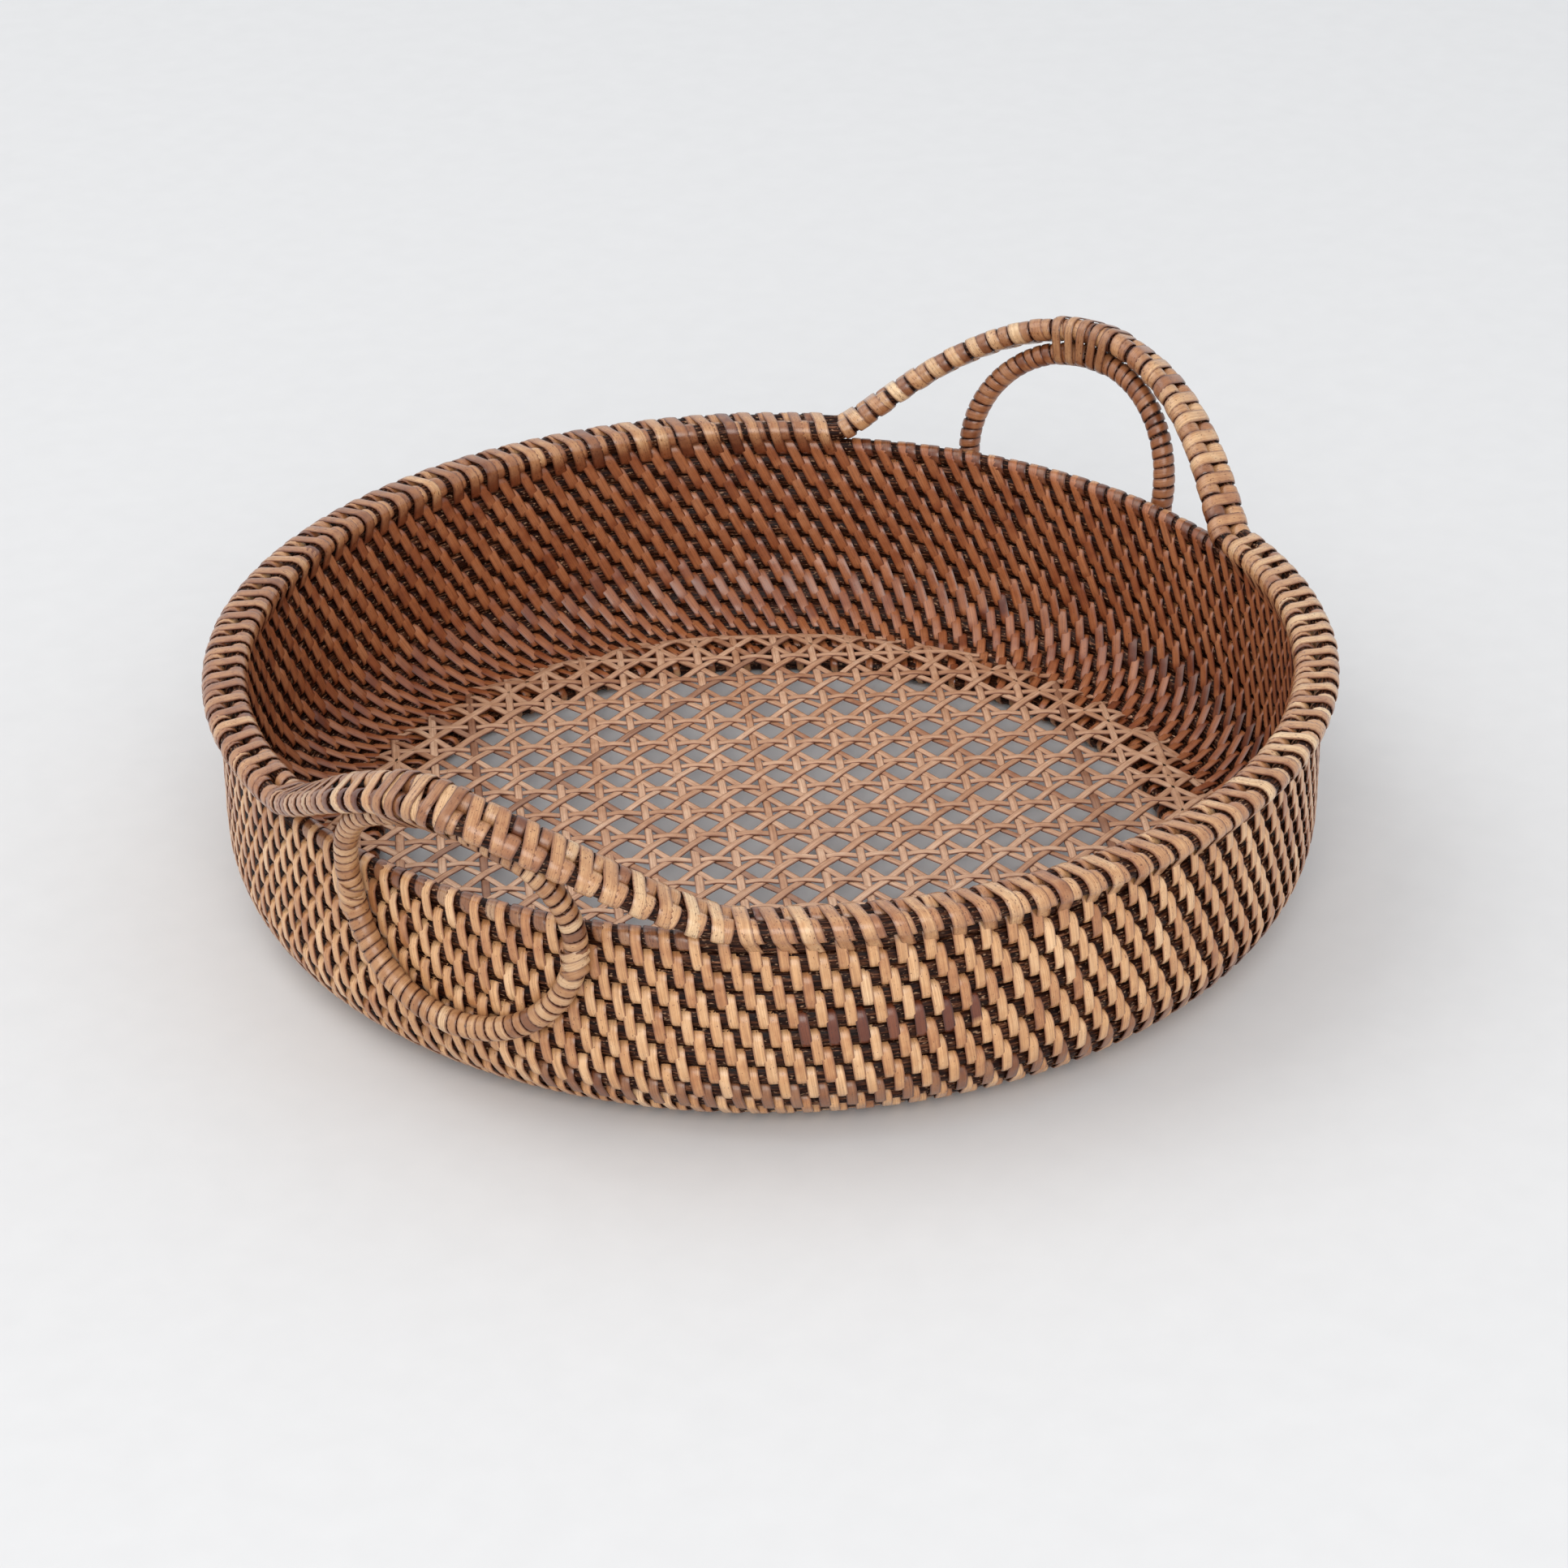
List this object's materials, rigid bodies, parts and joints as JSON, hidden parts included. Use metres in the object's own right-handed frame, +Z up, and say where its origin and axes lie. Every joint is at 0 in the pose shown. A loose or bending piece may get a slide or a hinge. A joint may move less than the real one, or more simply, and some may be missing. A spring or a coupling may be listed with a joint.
{
  "type": "round rattan winnowing basket",
  "caption": "Round shallow rattan basket with stitched rod walls, an open caned floor, and two arched handles, each with an oval ring hung on the outside of the wall.",
  "frame": {"origin": "centre of the basket's footprint on the surface it stands on", "axes": "+X through the right handle along the longest extent, +Z up out of the basket, +Y to the back so that both handles sit slightly towards -Y"},
  "size_m": [0.3984, 0.36, 0.1224],
  "materials": {
    "dark_rattan_rod": "dark stained, satin",
    "wall_binding_strip": "split rattan, satin lacquer",
    "rim_binding_strip": "split rattan, glossy lacquer",
    "ring_binding_strip": "split rattan, satin lacquer",
    "floor_cane": "cane strand, satin lacquer"
  },
  "bodies": {
    "root": {"basket_binding_01": "wall_binding_strip", "basket_binding_02": "wall_binding_strip", "basket_binding_03": "wall_binding_strip", "basket_binding_04": "wall_binding_strip", "basket_binding_05": "wall_binding_strip", "basket_binding_06": "wall_binding_strip", "basket_binding_07": "wall_binding_strip", "basket_binding_08": "wall_binding_strip", "basket_binding_09": "wall_binding_strip", "basket_binding_10": "wall_binding_strip", "basket_binding_11": "wall_binding_strip", "basket_binding_12": "wall_binding_strip", "basket_binding_13": "wall_binding_strip", "basket_binding_14": "wall_binding_strip", "basket_binding_15": "wall_binding_strip", "basket_rod_01": "dark_rattan_rod", "basket_rod_02": "dark_rattan_rod", "basket_rod_03": "dark_rattan_rod", "basket_rod_04": "dark_rattan_rod", "basket_rod_05": "dark_rattan_rod", "basket_rod_06": "dark_rattan_rod", "basket_rod_07": "dark_rattan_rod", "basket_rod_08": "dark_rattan_rod", "basket_rod_09": "dark_rattan_rod", "basket_rod_10": "dark_rattan_rod", "basket_rod_11": "dark_rattan_rod", "basket_rod_12": "dark_rattan_rod", "basket_rod_13": "dark_rattan_rod", "basket_rod_14": "dark_rattan_rod", "basket_rod_15": "dark_rattan_rod", "basket_rod_16": "dark_rattan_rod", "floor_strands_a": "floor_cane", "floor_strands_b": "floor_cane", "floor_strands_c": "floor_cane", "floor_strands_d": "floor_cane", "handle_left_binding": "rim_binding_strip", "handle_left_inner_rod": "dark_rattan_rod", "handle_left_outer_rod": "dark_rattan_rod", "handle_left_ring": "dark_rattan_rod", "handle_right_binding": "rim_binding_strip", "handle_right_inner_rod": "dark_rattan_rod", "handle_right_outer_rod": "dark_rattan_rod", "handle_right_ring": "dark_rattan_rod", "rim_binding_back": "rim_binding_strip", "rim_binding_front": "rim_binding_strip", "rim_inner_rod_back": "dark_rattan_rod", "rim_inner_rod_front": "dark_rattan_rod", "rim_outer_rod_back": "dark_rattan_rod", "rim_outer_rod_front": "dark_rattan_rod", "ring_binding_left": "ring_binding_strip", "ring_binding_right": "ring_binding_strip", "ring_lashing_left": "ring_binding_strip", "ring_lashing_right": "ring_binding_strip", "ring_ties_left": "ring_binding_strip", "ring_ties_right": "ring_binding_strip", "top_binding_left": "rim_binding_strip", "top_binding_right": "rim_binding_strip"}
  },
  "joints": []
}
